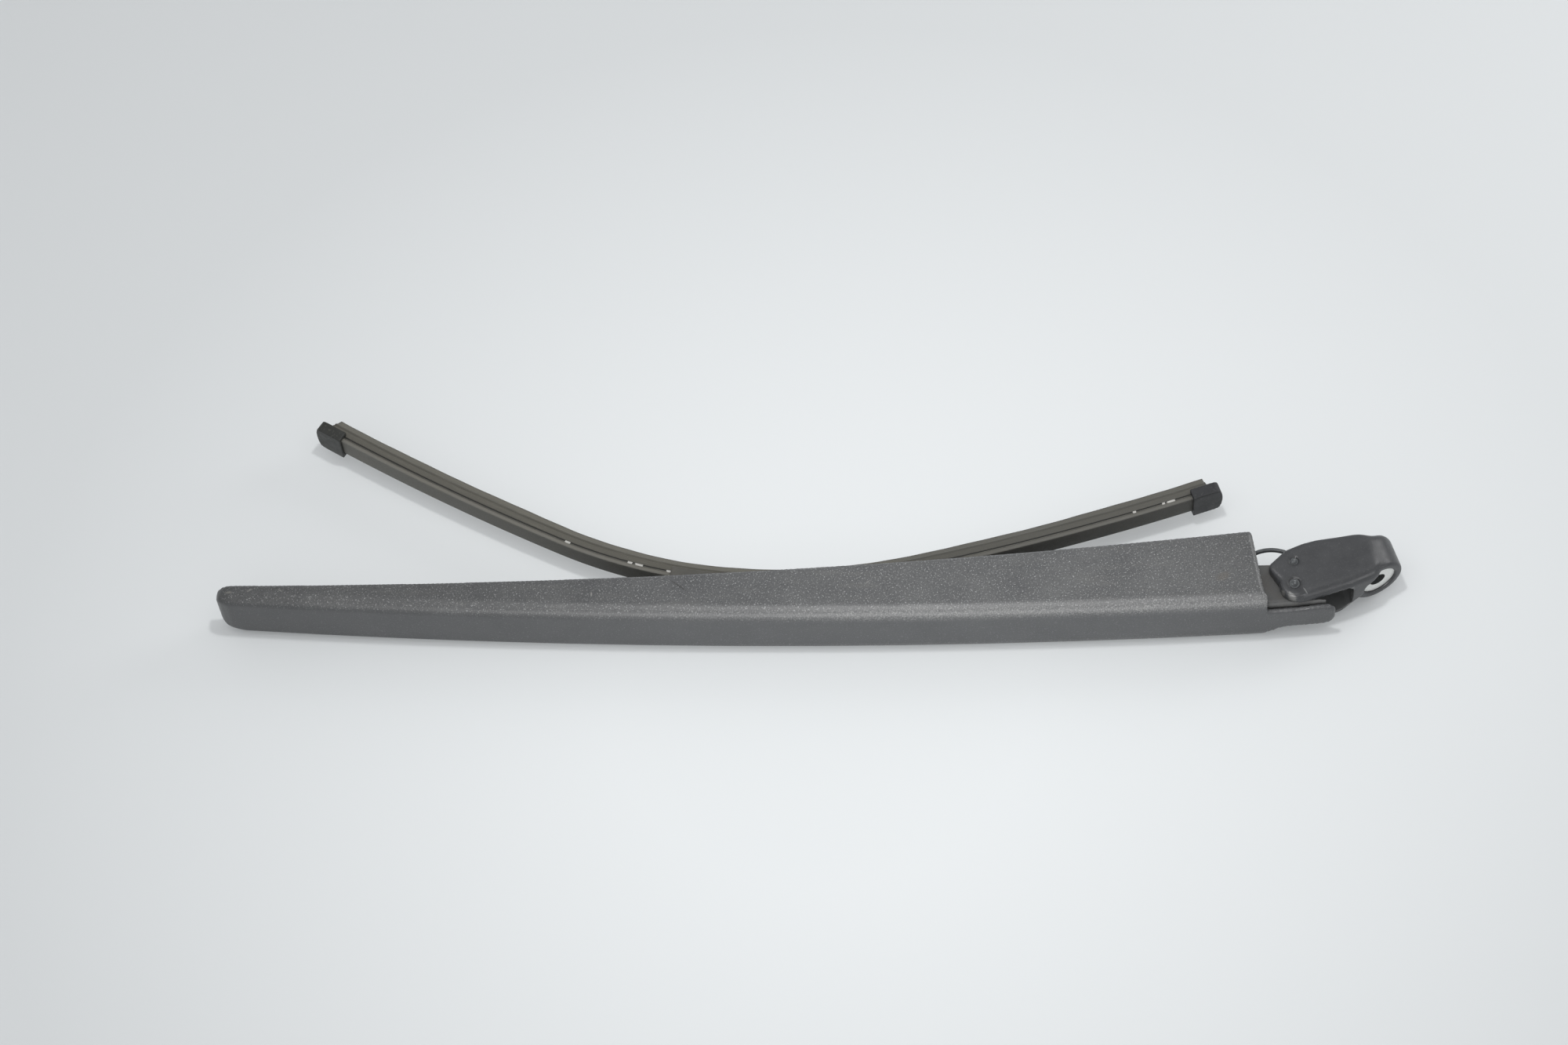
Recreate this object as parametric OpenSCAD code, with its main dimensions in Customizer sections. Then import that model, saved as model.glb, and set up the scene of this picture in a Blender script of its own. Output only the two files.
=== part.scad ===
// Rear window wiper: folding arm, mounting head, pull spring and flat blade.
// Frame: the spindle's axis lies along Y, the glass is on the +Y side,
// the origin is the centre of the nut seat, and Z runs across the arm's width.
// The arm is shown folded towards the glass side, as the spring leaves it off the car.

/* [Mounting head] */
// Half of the head's width across its cheeks
head_half_w = 12; // [11.7:0.1:13]
// Thickness of each cheek
cheek_t = 4; // [3:0.1:4.2]
// Rounding of the cheeks' outer edges
head_edge_r = 3.8; // [2:0.1:4]
// Rounding of the cheeks' edges on the glass side
head_back_r = 1.2; // [0.5:0.1:2]
// Radius of the collar at its open rim
collar_front_r = 10.4; // [9.8:0.1:11.2]
// Radius of the collar near the glass
collar_rear_r = 12.1; // [11.5:0.1:13]
// Distance from the nut seat to the collar's face on the glass side
collar_len = 14; // [12:0.5:16]
// Rounding of the collar's edge on the glass side
collar_round = 3.5; // [2:0.1:4]
// Height of the collar's rim over the nut seat
rim_h = 1; // [0.5:0.1:1.5]
// Chamfer of the rim's inner edge
rim_chamfer = 0.7; // [0:0.1:1]
// Radius of the pocket that the hinge tongue swings in
pocket_r = 22.8; // [20:0.1:23]
// Rounding of the pocket's end
pocket_round = 3; // [1:0.1:4]
// Radius of the boss round the hinge pin
boss_r = 6; // [4:0.1:6.4]
// Rounding of the boss's edge
boss_edge_r = 1.3; // [0.5:0.1:2]

/* [Spindle seat] */
// Diameter of the nut seat
seat_d = 14; // [12:0.1:15]
// Diameter of the hole for the spindle's thread
spindle_d = 6.2; // [5:0.1:7]
// Thickness of the metal under the nut
seat_t = 3.5; // [2.5:0.1:5]
// Small diameter of the taper socket
taper_top_d = 8; // [7.2:0.1:9]
// Large diameter of the taper socket
taper_base_d = 9.6; // [9.1:0.1:11]
// Outer diameter of the metal insert below its seat
insert_d = 16.4; // [15.2:0.1:17]

/* [Hinge and spring pins] */
// Distance from the spindle's axis to the hinge axis, along the head
hinge_reach = 32.5; // [31:0.1:34]
// Distance from the nut seat's plane to the hinge axis, towards the glass
hinge_drop = 8; // [7:0.1:9]
// Diameter of the hinge pin
hinge_pin_d = 4; // [3.5:0.1:4.5]
// Diameter of the pin that holds the spring hook
spring_pin_d = 3; // [2.5:0.1:3.2]
// Distance of the spring pin from the hinge axis
spring_pin_reach = 9.6; // [9.3:0.1:10.5]
// Direction of the spring pin, seen from the hinge, off the head's length
spring_pin_angle = 61; // [58:1:64]
// Depth of the pin ends under the head's faces
pin_sink = 0.4; // [0.2:0.1:0.8]
// Angle by which the arm is folded past its working position
rest_fold = 28; // [24:1:30]

/* [Arm cover] */
// Distance from the hinge axis to the arm's tip
arm_len = 415; // [380:5:440]
// Width of the arm
arm_w = 27; // [26.4:0.1:28]
// Wall of the arm cover
cover_t = 2; // [1.6:0.1:2.4]
// Rounding between the outer face and the side walls
crease_r = 4.2; // [3:0.1:5]
// Height of the arch's highest point over the hinge axis
arch_h = 15.4; // [14.8:0.1:17]
// Height of the outer face's arch over the hinge axis, at the hinge
root_face_h = 9; // [8.6:0.1:9.4]
// Height of the outer face over the hinge axis, at the tip
tip_face_h = 7.9; // [7:0.1:9]
// Distance behind the hinge axis at which the outer face bends down to the head
bend_back = 20; // [15:0.5:30]
// Radius of that bend
bend_r = 700; // [400:10:1000]
// Height of the side walls' free edge over the hinge axis, at the tip
edge_tip_h = 1.2; // [0:0.1:2]
// Depth of the side walls' free edge below the hinge axis, at the root
edge_root_h = 22.5; // [20:0.1:24]
// Rounding of the arm's tip
tip_r = 5; // [3:0.1:6]
// Distance from the hinge axis to the end of the side walls, at their free edge
wall_end_back = 15.6; // [14:0.1:20]
// Distance from the hinge axis to the end of the outer face
face_end_back = 10.2; // [9:0.1:11]
// Reach of the tongue past the hinge axis
tongue_reach = 16; // [14:0.1:17]
// Width of the tongue
tongue_w = 13.4; // [10:0.1:15]

/* [Hinge bracket] */
// Sheet thickness of the bracket
bracket_t = 1.8; // [1.4:0.1:2]
// Gap between the bracket and the head's cheeks, and between moving faces
side_gap = 0.3; // [0.2:0.05:0.5]
// Distance from the hinge axis to the bracket's far end
bracket_len = 116; // [112:1:140]
// Radius of the bracket's ears round the hinge axis
ear_r = 7; // [6:0.1:7.6]
// Height of the bracket's walls behind the hinge, over the hinge axis
bracket_wall_y = 10.3; // [9:0.1:11.5]
// Reach of the bracket's web past the hinge axis
web_reach = 13; // [11:0.1:14]
// Outer diameter of the hinge bushes
bush_d = 6; // [5.4:0.1:7]
// Flange thickness of the hinge bushes
bush_flange_t = 0.6; // [0.4:0.1:1]
// Diameter of the studs that hold the bracket
stud_d = 4; // [3:0.1:5]
// Diameter of the discs pushed on the studs
retainer_d = 9; // [7:0.1:10]
// Thickness of the discs pushed on the studs
retainer_t = 0.8; // [0.6:0.1:1.2]

/* [Pull spring] */
// Wire diameter of the hook
hook_wire_d = 1.7; // [1.4:0.1:1.9]
// Radius of the hook's large arc
hook_arc_r = 14; // [13:0.1:15]
// Radius of the smaller arcs at both sides of it
hook_side_r = 7.5; // [7:0.1:8]
// Length of the pull line from the spring pin to the anchor pin
pull_len = 95; // [92:1:100]
// Distance from the spring pin to the eye at the hook's tail
hook_len = 28; // [27:0.5:30]
// Wire diameter of the coil
coil_wire_d = 1.4; // [1.2:0.1:1.5]
// Mean radius of the coil
coil_r = 3.7; // [3.6:0.1:3.8]
// Diameter of the spring's anchor pin
anchor_pin_d = 3; // [2.5:0.1:3]

/* [Blade] */
// Distance from the hinge axis back to the blade pin
blade_pin_back = 218.4; // [200:0.1:230]
// Height of the blade pin over the hinge axis
blade_pin_h = 5; // [4:0.1:6]
// Diameter of the blade pin
blade_pin_d = 4; // [3.5:0.1:4.5]
// Angle at which the blade hangs off the arm's line
blade_tilt = 5.8; // [4:0.1:8]
// Distance from the blade pin's axis to the back of the rubber
blade_drop = 8.9; // [8.5:0.1:11]
// Radius of the blade's back in its bent middle
mid_r = 208; // [190:1:230]
// Half angle of the bent middle
mid_half_angle = 19.1; // [17:0.1:21]
// Radius of the blade's back towards its ends
end_r = 1050; // [900:10:1500]
// Length of the tip side's outer stretch, from the bent middle to the rubber's end
tip_stretch = 107; // [100:1:115]
// Length of the root side's outer stretch, from the bent middle to the rubber's end
root_stretch = 123.4; // [110:0.1:128]
// Half width of the rubber's back
back_half_w = 4.6; // [4:0.1:5]
// Thickness of the rubber's back over the rails
back_t = 1.6; // [1.2:0.1:1.8]
// Thickness of the steel rails
rail_t = 0.9; // [0.7:0.05:1.1]
// Width of each rail
rail_w = 2.4; // [2:0.1:2.8]
// Depth of the rubber from its back to the lip's edge
rubber_h = 9.5; // [9:0.1:10.5]

/* [End caps, clip and base] */
// Half width of the end caps
cap_half_w = 6.6; // [6:0.1:7]
// Length of the end caps
cap_len = 12.1; // [10.5:0.1:13.5]
// Reach of the end caps past the rubber's end
cap_over = 4.6; // [3.5:0.1:5]
// Radius of the end caps' outer end
cap_end_r = 18; // [12:0.5:40]
// Depth of the end caps' walls below the rubber's back
cap_depth = 3.5; // [3.2:0.1:4.4]
// Height of the end caps over the rubber's back
cap_proud = 1.2; // [0.8:0.1:1.6]
// Length of the base on the rubber's back
base_len = 44; // [36:1:60]
// Half width of the base
base_half_w = 6.4; // [6:0.1:6.8]
// Height of the base over the rubber's back
base_proud = 2.2; // [1.6:0.1:2.4]
// Half width of the clip
clip_half_w = 5.8; // [5:0.1:6]
// Length of the clip's foot
clip_len = 20; // [16:1:24]
// Outer radius of the clip round the blade pin
clip_r = 4.4; // [3.9:0.1:4.6]
// Thickness of the lugs that hold the blade pin
lug_t = 2.2; // [1.8:0.1:2.6]

/* [Hidden] */
$fn = 48;
fit = 0.05;
press = 0.01;
seat_gap = 0.15;
far = 60;
arch_fn = 1800;
blade_fn = 720;

hinge = [-hinge_reach, hinge_drop];
spring_pin = hinge + spring_pin_reach * [cos(spring_pin_angle), sin(spring_pin_angle)];
cheek_in = head_half_w - cheek_t;
pin_half_len = head_half_w - pin_sink;
rear_y = collar_len;
insert_end_y = collar_len - 1;
neck_len = collar_len - collar_round - 4;

root_rise = sqrt(arch_h - root_face_h);
tip_rise = sqrt(arch_h - tip_face_h);
arch_r = pow(arm_len / (root_rise + tip_rise), 2) / 2;
arch_back = arm_len * root_rise / (root_rise + tip_rise);
edge_start = arm_len - 3.5;
edge_r = pow(edge_start - wall_end_back, 2) / (2 * (edge_root_h + edge_tip_h));
arch_c = [-arch_back, arch_r - arch_h];
bend_angle = asin((arch_back - bend_back) / arch_r);
bend_c = arch_c + (arch_r - bend_r) * [sin(bend_angle), -cos(bend_angle)];
bend_span = 6;
join = 0.3;
step = 0.03;
edge_top_y = edge_y(-wall_end_back);
face_y_root = -sqrt(bend_r * bend_r - pow(-bend_c[0], 2)) + bend_c[1];

bracket_half_w = cheek_in - side_gap;
ear_in = bracket_half_w - bracket_t;
web_skin = cover_t + seat_gap;
web_top = web_skin + bracket_t;
stud_backs = [48, 92];

pin_dir = spring_pin_angle + rest_fold;
pin_in_arm = spring_pin_reach * [cos(pin_dir), sin(pin_dir)];
eye_r = spring_pin_d / 2 + hook_wire_d / 2 + fit;
tail_r = coil_wire_d + hook_wire_d / 2 + 0.2;
pull_angle = 3.75;
anchor_lift = 0.55;
hook_lean = 38;
hook_near_c = (hook_side_r - eye_r) * [-cos(hook_lean), sin(hook_lean)];
hook_c = hook_near_c - (hook_arc_r - hook_side_r) * [sin(hook_lean), cos(hook_lean)];
hook_far_c = [2 * hook_c[0] - hook_near_c[0], hook_near_c[1]];
hook_bend_r = hook_far_c[1];
hook_bend_x = hook_far_c[0] - hook_side_r - hook_bend_r;
loop_head_x = -hook_len - tail_r + hook_wire_d / 2 + coil_wire_d / 2 + 0.1;
loop_tail_x = -pull_len - spring_pin_reach - coil_wire_d / 2 - anchor_pin_d / 2 - 0.3;
head_leg = coil_wire_d / 2 + 0.3;
tail_leg = spring_pin_reach + anchor_pin_d + coil_wire_d + 1.2 - coil_r;
coil_start = loop_head_x - coil_r - head_leg + coil_wire_d / 2 + 0.1;
coil_end = loop_tail_x + coil_r + tail_leg - coil_wire_d / 2 - 0.1;
coil_turns = floor((coil_start - coil_end) / (coil_wire_d * 0.98));
coil_pitch = (coil_start - coil_end - coil_wire_d) / coil_turns;

blade_pin = [-blade_pin_back, -blade_pin_h];
mid_c = blade_drop + mid_r;
mid_len = mid_r * mid_half_angle * PI / 180;
rail_top = back_t + fit;
rail_out = back_half_w - 0.2;
core_half_w = rail_out - rail_w - fit;
low_top = rail_top + rail_t + fit;
low_half_w = 4.2;
low_t = 2.2;
neck_half_w = 1.5;
neck_t = 0.7;
lip_top = low_top + low_t + neck_t;
lip_half_w = 3.1;
lip_edge_half_w = 0.45;
lug_in = clip_half_w + side_gap;

// Height of the side walls' free edge at a place along the arm
function edge_y(x) = -edge_tip_h + pow(x + edge_start, 2) / (2 * edge_r);

// Height of the outer face at a place along the arm's arch
function face_y(x) = arch_c[1] - sqrt(arch_r * arch_r - pow(x - arch_c[0], 2));

// Points of an arc round c, from angle a to angle b in n steps
function arc_points(c, r, a, b, n) =
    [for (i = [0 : n]) c + r * [cos(a + (b - a) * i / n), sin(a + (b - a) * i / n)]];

// Places children in the arm's own frame: hinge axis at the origin, tip towards -X
module on_arm() {
    translate([hinge[0], hinge[1], 0])
        rotate([0, 0, -rest_fold])
            children();
}

// Places children in the blade's own frame: blade pin at the origin, glass towards +Y
module on_blade() {
    on_arm()
        translate([blade_pin[0], blade_pin[1], 0])
            rotate([0, 0, -blade_tilt])
                children();
}

// Places children on the spring's pull line: spring pin at the origin, anchor towards -X
module on_pull_line() {
    on_arm()
        translate([pin_in_arm[0], pin_in_arm[1], 0])
            rotate([0, 0, pull_angle])
                children();
}

// A pin along Z, centred on its length
module z_pin(d, half_len) {
    cylinder(d = d, h = 2 * half_len, center = true);
}

// A flat disc with rounded edges, one corner of the head's outline
module head_disc(p, r, edge) {
    translate([p[0], p[1], 0])
        rotate_extrude($fn = 32)
            intersection() {
                union() {
                    square([r - edge, head_half_w]);
                    square([r, head_half_w - edge]);
                    translate([r - edge, head_half_w - edge])
                        circle(edge, $fn = 32);
                    mirror([0, 1]) {
                        square([r - edge, head_half_w]);
                        square([r, head_half_w - edge]);
                        translate([r - edge, head_half_w - edge])
                            circle(edge, $fn = 32);
                    }
                }
                translate([0, -head_half_w])
                    square([r, 2 * head_half_w]);
            }
}

// Part of a head disc that lies on the upper side only
module head_shoulder(p, r) {
    intersection() {
        head_disc(p, r, head_edge_r);
        translate([-far, -far, 2])
            cube(2 * far);
    }
}

// Outer body of the head, from the hinge to the collar
module head_body() {
    hull() {
        // outer face, from the hinge to the collar
        head_disc(hinge + [2, -1], 6.6, head_edge_r);
        head_disc(hinge + [16, -3], 6.3, head_edge_r);
        head_disc([-6, 8], 6.5, head_edge_r);
        // arched edge on the glass side
        head_disc(hinge + [-2.7, 9.5], 2.6, head_back_r);
        head_disc(hinge + [4.5, 10.8], 3.5, head_back_r);
        head_disc(hinge + [10.5, 10.2], 3.8, head_back_r);
        head_disc([-12, 15.8], 4.2, head_back_r);
        head_disc([-2.5, 11.6], 5.4, head_back_r);
        // shoulder that rises on the upper side of the seat
        head_shoulder([-13, 4], 6.3);
        head_shoulder([-4, 3.7], 6.5);
        // neck that runs into the flank of the collar
        translate([0, 4, 0])
            rotate([-90, 0, 0])
                cylinder(r1 = collar_front_r + 0.2, r2 = collar_rear_r - 0.4, h = neck_len, $fn = 48);
    }
}

// Space that the tongue swings through round the hinge, with a rounded end
module head_pocket() {
    rotate_extrude($fn = 96) {
        square([pocket_r, cheek_in - pocket_round]);
        square([pocket_r - pocket_round, cheek_in]);
        translate([pocket_r - pocket_round, cheek_in - pocket_round])
            circle(pocket_round);
        mirror([0, 1]) {
            square([pocket_r, cheek_in - pocket_round]);
            square([pocket_r - pocket_round, cheek_in]);
            translate([pocket_r - pocket_round, cheek_in - pocket_round])
                circle(pocket_round);
        }
    }
}

// Collar round the spindle, with a rounded edge on the glass side
module collar() {
    flank = rear_y - collar_round;
    rotate([-90, 0, 0])
        rotate_extrude($fn = 96)
            union() {
                polygon([
                    [0, -rim_h], [collar_front_r - 0.6, -rim_h], [collar_front_r, -rim_h + 0.6],
                    [collar_rear_r, flank], [collar_rear_r - collar_round, rear_y], [0, rear_y]
                ]);
                translate([collar_rear_r - collar_round, flank])
                    circle(collar_round);
            }
}

module mounting_head() {
    color("#2e2f31")
    difference() {
        union() {
            head_body();
            head_disc(hinge + [0.4, -0.2], boss_r, boss_edge_r);
            collar();
        }
        // recess over the nut seat, with a chamfered rim
        rotate([90, 0, 0])
            cylinder(d = seat_d, h = far);
        translate([0, rim_chamfer - rim_h, 0])
            rotate([90, 0, 0])
                cylinder(d1 = seat_d, d2 = seat_d + 4 * rim_chamfer, h = 2 * rim_chamfer);
        // seat of the metal insert
        rotate([-90, 0, 0])
            cylinder(d = insert_d, h = far);
        // pocket between the cheeks, a sweep of the tongue round the hinge
        translate([hinge[0], hinge[1], 0])
            head_pocket();
        // bores of the two pins
        translate([hinge[0], hinge[1], 0])
            z_pin(hinge_pin_d + 2 * press, far);
        translate([spring_pin[0], spring_pin[1], 0])
            z_pin(spring_pin_d + 2 * press, far);
    }
}

// Metal insert of the collar: nut seat, thread hole and taper socket
module spindle_insert() {
    color("#b4b5b2")
    rotate([-90, 0, 0])
        difference() {
            union() {
                cylinder(d = seat_d - 2 * press, h = insert_end_y);
                translate([0, 0, press])
                    cylinder(d = insert_d - 2 * press, h = insert_end_y - press);
            }
            translate([0, 0, -1])
                cylinder(d = spindle_d, h = far);
            translate([0, 0, seat_t])
                cylinder(d1 = taper_top_d, d2 = taper_base_d, h = insert_end_y - seat_t + 0.01);
        }
}

// Riveted pin with a dimple in each end
module rivet_pin(p, d) {
    translate([p[0], p[1], 0])
        difference() {
            z_pin(d, pin_half_len);
            for (side = [-1, 1])
                translate([0, 0, side * (pin_half_len + d * 0.35)])
                    sphere(d = d);
        }
}

module hinge_pin() {
    color("#4b4c4d")
    rivet_pin(hinge, hinge_pin_d);
}

module spring_pin() {
    color("#4b4c4d")
    rivet_pin(spring_pin, spring_pin_d);
}

// Piece of bent wire round c, from angle a through the angle span
module wire_arc(c, r, d, a, span) {
    translate([c[0], c[1], 0])
        rotate([0, 0, a])
            rotate_extrude(angle = span, $fn = 96)
                translate([r, 0])
                    circle(d = d, $fn = 24);
}

// Thinner piece of the same wire, lapped into its neighbours at both ends
module lapped_arc(c, r, a, span) {
    lap = join / r * 180 / PI;
    wire_arc(c, r, hook_wire_d - 2 * step, a - lap, span + 2 * lap);
}

module spring_hook() {
    color("#55534f")
    on_pull_line()
        union() {
            wire_arc([0, 0], eye_r, hook_wire_d, -260, 260 - hook_lean);
            lapped_arc(hook_near_c, hook_side_r, -hook_lean, 90);
            wire_arc(hook_c, hook_arc_r, hook_wire_d, 90 - hook_lean, 2 * hook_lean);
            lapped_arc(hook_far_c, hook_side_r, 90 + hook_lean, 90 - hook_lean);
            wire_arc([hook_bend_x, hook_bend_r], hook_bend_r, hook_wire_d, -90, 90);
            translate([hook_bend_x + join, 0, 0])
                rotate([0, -90, 0])
                    cylinder(d = hook_wire_d - 2 * step, h = hook_len - tail_r + hook_bend_x + join);
            wire_arc([-hook_len, 0], tail_r, hook_wire_d, 0, 360);
        }
}

// Half loop of the coil's wire with two short legs, opening towards -X, tip of the loop at x = 0
module coil_loop(leg) {
    translate([-coil_r, 0, 0])
        rotate([0, 0, -90])
            rotate_extrude(angle = 180, $fn = 48)
                translate([coil_r, 0])
                    circle(d = coil_wire_d, $fn = 16);
    for (side = [-1, 1])
        translate([-coil_r + 0.05, side * coil_r, 0])
            rotate([0, -90, 0])
                cylinder(d = coil_wire_d + 0.06, h = leg, $fn = 16);
}

// Closed coil, drawn as touching turns on a thin sleeve, with a loop at each end
module tension_spring() {
    color("#3f3e3c")
    on_pull_line()
        union() {
            translate([coil_end, 0, 0])
                rotate([0, 90, 0])
                    rotate_extrude($fn = 48) {
                        for (i = [0 : coil_turns])
                            translate([coil_r, coil_wire_d / 2 + i * coil_pitch])
                                circle(d = coil_wire_d, $fn = 16);
                        translate([coil_r - 0.3, coil_wire_d / 2])
                            square([0.6, coil_turns * coil_pitch]);
                    }
            translate([loop_head_x, 0, 0])
                rotate([90, 0, 0])
                    coil_loop(head_leg);
            translate([loop_tail_x, 0, 0])
                rotate([0, 0, 180])
                    coil_loop(tail_leg);
        }
}

// Section of a channel that opens towards the glass: x is the radius from the arch's centre
module channel_section(r, half_w, round_r, depth) {
    translate([r - depth, -half_w])
        square([depth - round_r, 2 * half_w]);
    translate([r - depth, -half_w + round_r])
        square([depth, 2 * half_w - 2 * round_r]);
    for (side = [-1, 1])
        translate([r - round_r, side * (half_w - round_r)])
            circle(round_r);
}

// Sweeps a channel section along the arch and the bend at its root, skin under the outer face,
// from the root to a reach behind the hinge axis
module arm_sweep(skin, half_w, round_r, reach) {
    from_angle = asin((arch_back - reach) / arch_r);
    to_angle = bend_angle + join / arch_r * 180 / PI;
    depth = 48;
    translate([arch_c[0], arch_c[1], 0])
        rotate([0, 0, 270 + from_angle])
            rotate_extrude(angle = to_angle - from_angle, $fn = arch_fn)
                channel_section(arch_r - skin, half_w, round_r, depth);
    translate([bend_c[0], bend_c[1], 0])
        rotate([0, 0, 270 + bend_angle])
            rotate_extrude(angle = bend_span, $fn = 720)
                channel_section(bend_r - skin - step, half_w - step, round_r, depth - 1);
}

// Places children on the arch, a distance behind the hinge, with -Y out of the face
module on_arch(back) {
    turn = asin((arch_back - back) / arch_r);
    translate([arch_c[0], arch_c[1], 0])
        rotate([0, 0, turn])
            translate([0, -arch_r, 0])
                children();
}

// Side view of the arm: tip, curved free edge and slanted root end
module side_outline() {
    steps = 26;
    round_r = 1.5;
    nose_r = tip_face_h - edge_tip_h - round_r - 0.7;
    tip_x = -arm_len;
    tip_face = face_y(tip_x);
    polygon(concat(
        arc_points([tip_x + nose_r, tip_face + nose_r + 0.2], nose_r, 270, 180, 8),
        arc_points([tip_x + round_r, edge_y(tip_x + round_r) - round_r], round_r, 180, 90, 5),
        [for (i = [1 : steps])
            let (x = tip_x + round_r + (arm_len - wall_end_back - 2 * round_r) * i / steps)
            [x, edge_y(x)]],
        arc_points([-wall_end_back - round_r, edge_top_y - round_r], round_r, 80, 8, 4),
        [
            [-face_end_back - 1.6, -2], [-face_end_back - 0.5, face_y_root + cover_t + 1.4],
            [far, face_y_root + cover_t + 1.4], [far, -far], [tip_x + nose_r, -far]
        ]
    ));
}

// Front view of the arm: rounded tip, straight sides and the tongue over the hinge
module front_outline() {
    half_w = arm_w / 2;
    tongue_half = tongue_w / 2;
    sweep_r = 16;
    sweep_x = -face_end_back + 11;
    polygon(concat(
        arc_points([-arm_len + tip_r, half_w - tip_r], tip_r, 180, 90, 8),
        [[-face_end_back - 1, half_w]],
        arc_points([-face_end_back - 1, half_w - 1], 1, 90, 0, 4),
        arc_points([-face_end_back + 1.5, tongue_half + 0.5], 1.5, 180, 270, 5),
        arc_points([tongue_reach - 4.5, tongue_half - 4.5], 4.5, 90, 0, 6),
        arc_points([tongue_reach - 4.5, -tongue_half + 4.5], 4.5, 0, -90, 6),
        arc_points([sweep_x, -tongue_half - sweep_r], sweep_r, 90, 148, 8),
        [[-face_end_back - 14, -half_w]],
        arc_points([-arm_len + tip_r, -half_w + tip_r], tip_r, -90, -180, 8)
    ));
}

// One of the two lugs that hold the blade pin, from the cover's wall to the pin
module pin_lug(side) {
    translate([blade_pin[0], 0, side * (lug_in + lug_t / 2)])
        linear_extrude(lug_t, center = true)
            union() {
                translate([0, blade_pin[1]])
                    circle(4.2);
                translate([-4.2, -arch_h + cover_t / 2])
                    square([8.4, arch_h - cover_t / 2 - blade_pin_h]);
            }
}

module arm_cover() {
    color("#5f6162")
    on_arm()
        difference() {
            union() {
                intersection() {
                    difference() {
                        arm_sweep(0, arm_w / 2, crease_r, arm_len + 2);
                        arm_sweep(cover_t, arm_w / 2 - cover_t, crease_r - cover_t, arm_len - cover_t);
                    }
                    linear_extrude(2 * far, center = true)
                        side_outline();
                    rotate([90, 0, 0])
                        linear_extrude(4 * far, center = true)
                            front_outline();
                }
                for (side = [-1, 1])
                    pin_lug(side);
                for (back = stud_backs)
                    on_arch(back)
                        translate([0, cover_t / 2, 0])
                            rotate([-90, 0, 0])
                                cylinder(d = stud_d, h = web_top + retainer_t + 1 - cover_t / 2);
            }
            translate([blade_pin[0], blade_pin[1], 0])
                z_pin(blade_pin_d + 2 * press, lug_in + lug_t);
        }
}

// Side view of the bracket: ears round the hinge, long walls with a low free edge
module bracket_outline() {
    ear_back_x = pin_in_arm[0] - spring_pin_d / 2 - 0.6;
    far_x = -bracket_len;
    circle(ear_r);
    polygon([
        [web_reach, -far], [web_reach - 1, face_y_root + web_top + 0.2],
        [web_reach - 3, face_y_root + web_top + 0.2], [ear_r * 0.7, -ear_r * 0.7],
        [0, 0], [ear_back_x, 4], [ear_back_x, bracket_wall_y - 1.5],
        [ear_back_x - 1.5, bracket_wall_y], [-40, bracket_wall_y - 0.8],
        [far_x + 6, 7.5], [far_x, 2], [far_x, -far]
    ]);
}

module hinge_bracket() {
    color("#575450")
    on_arm()
        difference() {
            intersection() {
                difference() {
                    arm_sweep(web_skin, bracket_half_w, bracket_t + 0.4, bracket_len + 10);
                    arm_sweep(web_top, ear_in, 0.4, bracket_len + 20);
                }
                linear_extrude(2 * far, center = true)
                    bracket_outline();
            }
            z_pin(bush_d + 2 * press, far);
            // notch in the web for the hook's eye
            translate([1, -far, -2.6])
                cube([far, far - 2, 5.2]);
            on_pull_point()
                z_pin(anchor_pin_d + 2 * press, far);
            for (back = stud_backs)
                on_arch(back)
                    rotate([-90, 0, 0])
                        cylinder(d = stud_d + 0.3, h = web_top + 2);
        }
}

// Places children at the anchor pin, in the arm's frame
module on_pull_point() {
    translate([pin_in_arm[0], pin_in_arm[1], 0])
        rotate([0, 0, pull_angle - anchor_lift])
            translate([-pull_len, 0, 0])
                children();
}

// Flanged bush in one ear of the bracket
module hinge_bush(side) {
    flange_z = ear_in - 2 * step - bush_flange_t;
    on_arm()
        mirror([0, 0, side < 0 ? 1 : 0])
            translate([0, 0, flange_z])
                difference() {
                    union() {
                        cylinder(d = bush_d + 2, h = bush_flange_t);
                        cylinder(d = bush_d, h = bracket_t + bush_flange_t);
                    }
                    translate([0, 0, -1])
                        cylinder(d = hinge_pin_d + 2 * fit, h = bracket_t + bush_flange_t + 2);
                }
}

module hinge_bush_upper() {
    color("#d8d4c8")
    hinge_bush(1);
}

module hinge_bush_lower() {
    color("#d8d4c8")
    hinge_bush(-1);
}

module stud_retainers() {
    lift = pow(retainer_d, 2) / (8 * arch_r) + 0.01;
    color("#8d8f90")
    on_arm()
        for (back = stud_backs)
            on_arch(back)
                translate([0, web_top + lift, 0])
                    rotate([-90, 0, 0])
                        difference() {
                            cylinder(d = retainer_d, h = retainer_t);
                            translate([0, 0, -1])
                                cylinder(d = stud_d + 2 * press, h = retainer_t + 2);
                        }
}

module spring_anchor_pin() {
    color("#8d8f90")
    on_arm()
        on_pull_point()
            z_pin(anchor_pin_d, bracket_half_w);
}

module blade_pin() {
    color("#8d8f90")
    on_arm()
        translate([blade_pin[0], blade_pin[1], 0])
            z_pin(blade_pin_d, lug_in + lug_t);
}

// Sweeps a blade section along the blade's bent middle, or as much of it as the lengths reach.
// The section's x is the depth from the back, its y is the height across the blade.
module blade_middle(tip_len, root_len) {
    mid_tip = min(tip_len, mid_len + join) / mid_r * 180 / PI;
    mid_root = min(root_len, mid_len + join) / mid_r * 180 / PI;
    translate([0, mid_c, 0])
        rotate([0, 0, 270 - mid_tip])
            rotate_extrude(angle = mid_tip + mid_root, $fn = blade_fn)
                translate([mid_r, 0])
                    mirror([1, 0])
                        children();
}

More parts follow.
